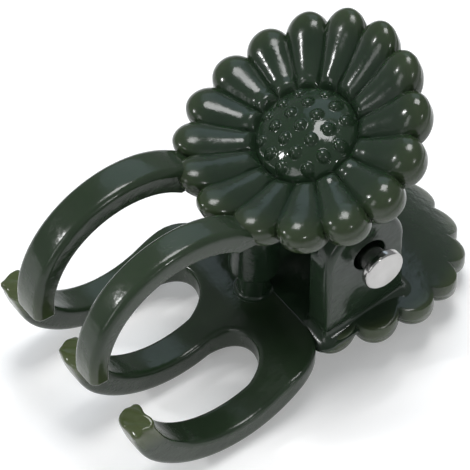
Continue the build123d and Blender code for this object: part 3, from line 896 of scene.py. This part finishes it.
# %% Foot fillets
def foot(side, r=0.75, columns=96):
    """Hollow fillet: at angle t the strip stands r (1 - sin t) off the ear and r (1 - cos t) up."""
    mid = np.array([sum(LOWER_EAR_X) / 2, side * sum(LOWER_EAR_Y) / 2])
    half = np.array([(LOWER_EAR_X[1] - LOWER_EAR_X[0]) / 2, (LOWER_EAR_Y[1] - LOWER_EAR_Y[0]) / 2])
    corner = 0.35
    turn = 2 * pi * (np.arange(columns) + 0.5) / columns
    normal = np.stack([np.cos(turn), np.sin(turn)], -1)
    base = mid + np.sign(normal) * (half - corner) + normal * corner

    def row(off, up):
        p = base + normal * off
        z = -LOWER_PAD[1] - dish(np.clip(p[:, 0] - LOWER_PAD[0], -PAD_R, PAD_R), p[:, 1]) + up
        return np.stack([p[:, 0], p[:, 1], z], -1)

    rows = [row(-0.3, -0.3), row(r + 0.1, -0.3), row(r + 0.1, -0.02)]
    rows += [row(r * (1 - sin(t)), r * (1 - cos(t))) for t in np.linspace(0, pi / 2, 10)]
    rows += [row(-0.3, r)]
    points = np.array(rows)
    return skin(np.concatenate([points, points[:1]]))


for label, side in (("near", -1), ("far", 1)):
    piece(f"ear_foot_{label}", foot(side), "lower_body", jaw_green, 45.0)

# %% [markdown]
# ## The stop and the pin
#
# A peg under the upper pad comes to rest on a boss of the neck, which sets how far the clip
# shuts. Peg, boss and pin are turned shapes: one profile of radius and height carried round
# an axis. Real corners aren't sharp, so each profile has a small round or bevel. The pin's
# head is faintly hollow on its face, which gives it its brighter rim.

# %% Turned pieces
def turned_round(profile, columns=64, axis="Z"):
    """A profile of (radius, height) points carried round Z, or round Y for the pin."""
    r, h = np.asarray(profile, float).T
    angle = 2 * pi * np.arange(columns) / columns
    a = r[:, None] * np.cos(angle)
    b = r[:, None] * np.sin(angle)
    c = np.repeat(h[:, None], columns, 1)
    return np.stack([a, b, c] if axis == "Z" else [a, c, b], -1)


def rounded_end(r, h, edge, up, steps=7):
    """Profile points of a flat end of radius r at height h whose corner is a quarter circle."""
    t = np.linspace(0, pi / 2, steps)
    return [(r - edge * (1 - cos(a)), h - up * edge * (1 - sin(a))) for a in t]


PEG_X, PEG_R, BOSS_R, STOP_Z, STOP_GAP = -5.1, 1.9, 1.25, -4.6, 0.08
BOSS_FOOT_R = 0.3


def stood_at(shell_points, x):
    """A turned grid moved along X and made a shell."""
    return skin(shell_points + np.array([x, 0, 0]))


def upper_pad_under(x):
    """Height of the upper pad's back face over a point x of the drawing (found by halving)."""
    low, high = -12.0, 12.0
    c, s = cos(UPPER_TILT), sin(UPPER_TILT)
    for _ in range(50):
        at = (low + high) / 2
        px = (at + UPPER_PAD[0]) * c - (UPPER_PAD[1] + float(dish(at))) * s
        low, high = (at, high) if px < x else (low, at)
    return (at + UPPER_PAD[0]) * s + (UPPER_PAD[1] + float(dish(at))) * c


peg_top = upper_pad_under(PEG_X) + 0.45
peg_profile = [(0, peg_top), (PEG_R, peg_top), (PEG_R, 0.0)]
peg_profile += rounded_end(PEG_R, STOP_Z + STOP_GAP, 0.22, -1) + [(0, STOP_Z + STOP_GAP)]
piece("stop_peg", stood_at(turned_round(peg_profile), PEG_X), "upper_body", jaw_green, 45.0)
boss_profile = [(0, CREST[1] - 0.6), (BOSS_R + 0.5, CREST[1] - 0.6), (BOSS_R + 0.35, CREST[1] - 0.1)]
boss_profile += [(BOSS_R + BOSS_FOOT_R * (1 - sin(t)), CREST[1] + BOSS_FOOT_R * (1 - cos(t)))
                 for t in np.linspace(0, pi / 2, 7)]
boss_profile += rounded_end(BOSS_R, STOP_Z, 0.28, 1) + [(0, STOP_Z)]
piece("stop_boss", stood_at(turned_round(boss_profile), PEG_X), "lower_body", jaw_green, 45.0)

# %% The pin
HEAD_R, HEAD_T, HEAD_OUT, PIN_END = 1.65, 0.65, 9.1, 7.5
RIM_R, UNDER_R, NECK_BEVEL = 0.18, 0.1, 0.06
head = -HEAD_OUT
pin_profile = [(0, head + 0.05), (0.7, head + 0.045), (1.2, head + 0.03), (1.36, head + 0.01),
               (1.42, head)]
pin_profile += [(HEAD_R - RIM_R * (1 - sin(t)), head + RIM_R * (1 - cos(t)))
                for t in np.linspace(0, pi / 2, 7)]
pin_profile += [(HEAD_R - UNDER_R * (1 - cos(t)), head + HEAD_T - UNDER_R * (1 - sin(t)))
                for t in np.linspace(0, pi / 2, 5)]
pin_profile += [(PIN_R + NECK_BEVEL, head + HEAD_T), (PIN_R, head + HEAD_T + NECK_BEVEL)]
pin_profile += [(PIN_R, PIN_END - RIM_R), (PIN_R - RIM_R, PIN_END), (0, PIN_END)]
bright_pin = piece("bright_pin", skin(turned_round(pin_profile, 96, "Y")), "lower_body", pin_bright, 40.0)
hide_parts("hinge_pin")

# %% [markdown]
# ## The spring
#
# The wire comes along under the lower pad, winds four times and a bit round the pin, and
# leaves under the upper pad. Its middle line is a straight leg, a helix and another leg, and
# the tube is a circle carried along it. The lower leg is kept short, so that it ends behind
# the near ear as seen from the camera.

# %% Spring line
WIRE_R, COIL_R, COIL_TURNS, COIL_PITCH = 0.32, 2.15, 4, 1.15
LEG_REACH, LOW_LEG_REACH, LEG_GAP = 7.6, 5.6, 0.2
END_ROUND = 0.06


def leg_aim(reach, height):
    """Direction of a leg that leaves the coil and ends so far out at that height."""
    return atan2(height, reach) - asin(COIL_R / hypot(reach, height))


def spring_line(turn_points=48):
    """Middle line of the wire."""
    room = WIRE_R + LEG_GAP
    low_h = LOWER_PAD[1] + float(dish(LOW_LEG_REACH - LOWER_PAD[0])) - room
    high_h = UPPER_PAD[1] + float(dish(LEG_REACH - UPPER_PAD[0])) - room
    start = -leg_aim(LOW_LEG_REACH, low_h) - pi / 2
    end = leg_aim(LEG_REACH, high_h) + UPPER_TILT + pi / 2 - 2 * pi
    total = start - end + 2 * pi * COIL_TURNS
    rise = COIL_PITCH / (2 * pi)
    turned_by = np.linspace(0, total, int(turn_points * total / (2 * pi)))
    a = start - turned_by
    coil = np.stack([COIL_R * np.cos(a), rise * (turned_by - total / 2), COIL_R * np.sin(a)], -1)
    first = np.array([sin(start), 0, -cos(start)])
    last = np.array([sin(a[-1]), 0, -cos(a[-1])])
    low_far = sqrt(LOW_LEG_REACH**2 + low_h**2 - COIL_R**2)
    high_far = sqrt(LEG_REACH**2 + high_h**2 - COIL_R**2)
    steps = np.linspace(1, 0, 14)[:-1, None]
    low_leg = coil[0] - first * low_far * steps
    high_leg = coil[-1] + last * high_far * (1 - steps[::-1] + steps[-1])
    return np.concatenate([low_leg, coil, high_leg])


def tube(line, r, columns=16):
    """Round tube: across the line, one direction stays nearest the pin's axis Y."""
    run = np.gradient(line, axis=0)
    run /= np.linalg.norm(run, axis=1, keepdims=True)
    side = np.array([0, 1.0, 0]) - run * run[:, 1:2]
    side /= np.linalg.norm(side, axis=1, keepdims=True)
    other = np.cross(run, side)
    angle = 2 * pi * np.arange(columns) / columns
    ring = side[:, None] * np.cos(angle)[:, None] + other[:, None] * np.sin(angle)[:, None]
    body = line[:, None] + r * ring
    ends = [np.repeat(line[k][None, None], columns, 1) for k in (0, -1)]
    soft = [line[k] + s * END_ROUND * run[k] + (r - END_ROUND) * ring[k] for k, s in ((0, -1), (-1, 1))]
    return np.concatenate([ends[0] - END_ROUND * run[0], soft[0][None], body, soft[1][None],
                           ends[1] + END_ROUND * run[-1]])


wire_line = spring_line()
print("spring wire, mm:", round(float(np.linalg.norm(np.diff(wire_line, axis=0), axis=1).sum()), 2))

# %% The spring's mesh
spring_points, spring_quads = skin(tube(wire_line, WIRE_R))
spring_mesh = bpy.data.meshes.new("spring_coil")
spring_mesh.from_pydata(to_table(spring_points).tolist(), [], spring_quads.tolist())
cleaner = bmesh.new()
cleaner.from_mesh(spring_mesh)
bmesh.ops.remove_doubles(cleaner, verts=cleaner.verts, dist=1e-7)
cleaner.to_mesh(spring_mesh)
cleaner.free()
spring_mesh.polygons.foreach_set("use_smooth", np.ones(len(spring_mesh.polygons), bool))
spring_mesh.materials.append(spring_wire)
spring_coil = bpy.data.objects.new("spring_coil", spring_mesh)
bpy.context.scene.collection.objects.link(spring_coil)
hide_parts("torsion_spring")
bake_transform(spring_coil)
print("coil runs over y, mm:", round(float(wire_line[0, 1]), 2), "to", round(float(wire_line[-1, 1]), 2))

# %% [markdown]
# ## Floor and light
#
# The photograph is a packshot on white: soft light from all round, and two small bright lamps
# that give each petal its pair of sharp sparks. A box overhead draws the long streaks down
# the hooks, a sheet on the finger side lifts their flanks, and a wide one behind lays the
# bluish sheen on the lower pad's back. The floor is plain and pale, wide enough to fill every
# view.

# %% Floor
FLOOR_DROP = 0.00034           # metres; the lower daisy's side petals reach this far under z = 0


def pale_floor():
    """A round sheet just under the clip, as a flat disc of rings. It glows a little, so that the
    shadows stay pale."""
    r = np.array([0.0, 0.05, 0.2, 0.8, 3.0])
    angle = 2 * pi * np.arange(48) / 48
    level = 0 * r[:, None] * angle - FLOOR_DROP
    points = np.stack([r[:, None] * np.cos(angle), r[:, None] * np.sin(angle), level], -1)
    flat, quads = skin_open(points, True)
    mesh = bpy.data.meshes.new("floor")
    mesh.from_pydata(flat.tolist(), [], quads.tolist())
    finish, nodes, links, shader = new_finish("floor_pale")
    mottle = noise(nodes, links, 9.0, 2.0)
    tone = ramp(nodes, links, mottle.outputs["Fac"], [(0.3, (0.82, 0.82, 0.82)), (0.7, (0.84, 0.84, 0.84))])
    links.new(tone.outputs["Color"], shader.inputs["Base Color"])
    shader.inputs["Emission Color"].default_value = (1, 1, 1, 1)
    shader.inputs["Emission Strength"].default_value = 0.22
    shader.inputs["Roughness"].default_value = 0.7
    mesh.materials.append(finish)
    floor = bpy.data.objects.new("floor", mesh)
    bpy.context.scene.collection.objects.link(floor)
    return floor


pale_floor()

# %% Lights
def soft_box(name, spot, target, wide, tall, watts, tint=(1, 1, 1)):
    """A rectangular lamp at a spot of the drawing, in mm, facing a target."""
    lamp = bpy.data.lights.new(name, "AREA")
    lamp.shape, lamp.size, lamp.size_y = "RECTANGLE", wide * MM, tall * MM
    lamp.energy, lamp.color = watts, tint
    box = bpy.data.objects.new(name, lamp)
    bpy.context.scene.collection.objects.link(box)
    box.location = Vector(to_table(spot))
    away = Vector(to_table(spot)) - Vector(to_table(target))
    box.rotation_euler = away.to_track_quat("Z", "Y").to_euler()
    box.visible_camera = False     # it lights the clip but doesn't show in a low side view
    return box


MIDDLE = (-4, 0, 0)


def beside(direction, distance):
    """A spot of the drawing at a distance from the clip's middle in a direction."""
    ray = np.array(direction, float)
    return tuple(np.array(MIDDLE) + distance * ray / np.linalg.norm(ray))


soft_box("top_box", beside((0.06, 0.09, 0.99), 210), MIDDLE, 90, 90, 0.31)
soft_box("spark_lamp", beside((-0.80, 0.36, 0.48), 240), MIDDLE, 16, 16, 0.14)
soft_box("near_lamp", beside((0.02, -0.86, 0.50), 240), MIDDLE, 16, 16, 0.06)
soft_box("left_sheet", beside((-0.95, -0.15, 0.36), 250), MIDDLE, 60, 110, 0.07)
soft_box("back_sheet", beside((0.38, 0.54, 0.75), 260), MIDDLE, 170, 170, 0.08, (0.66, 0.83, 1.0))

world = bpy.data.worlds.new("studio")
world.use_nodes = True
sky = world.node_tree.nodes["Background"]
sky.inputs["Color"].default_value = (0.95, 0.97, 1.0, 1.0)
sky.inputs["Strength"].default_value = 0.36
bpy.context.scene.world = world
bpy.context.scene.view_settings.view_transform = "Standard"
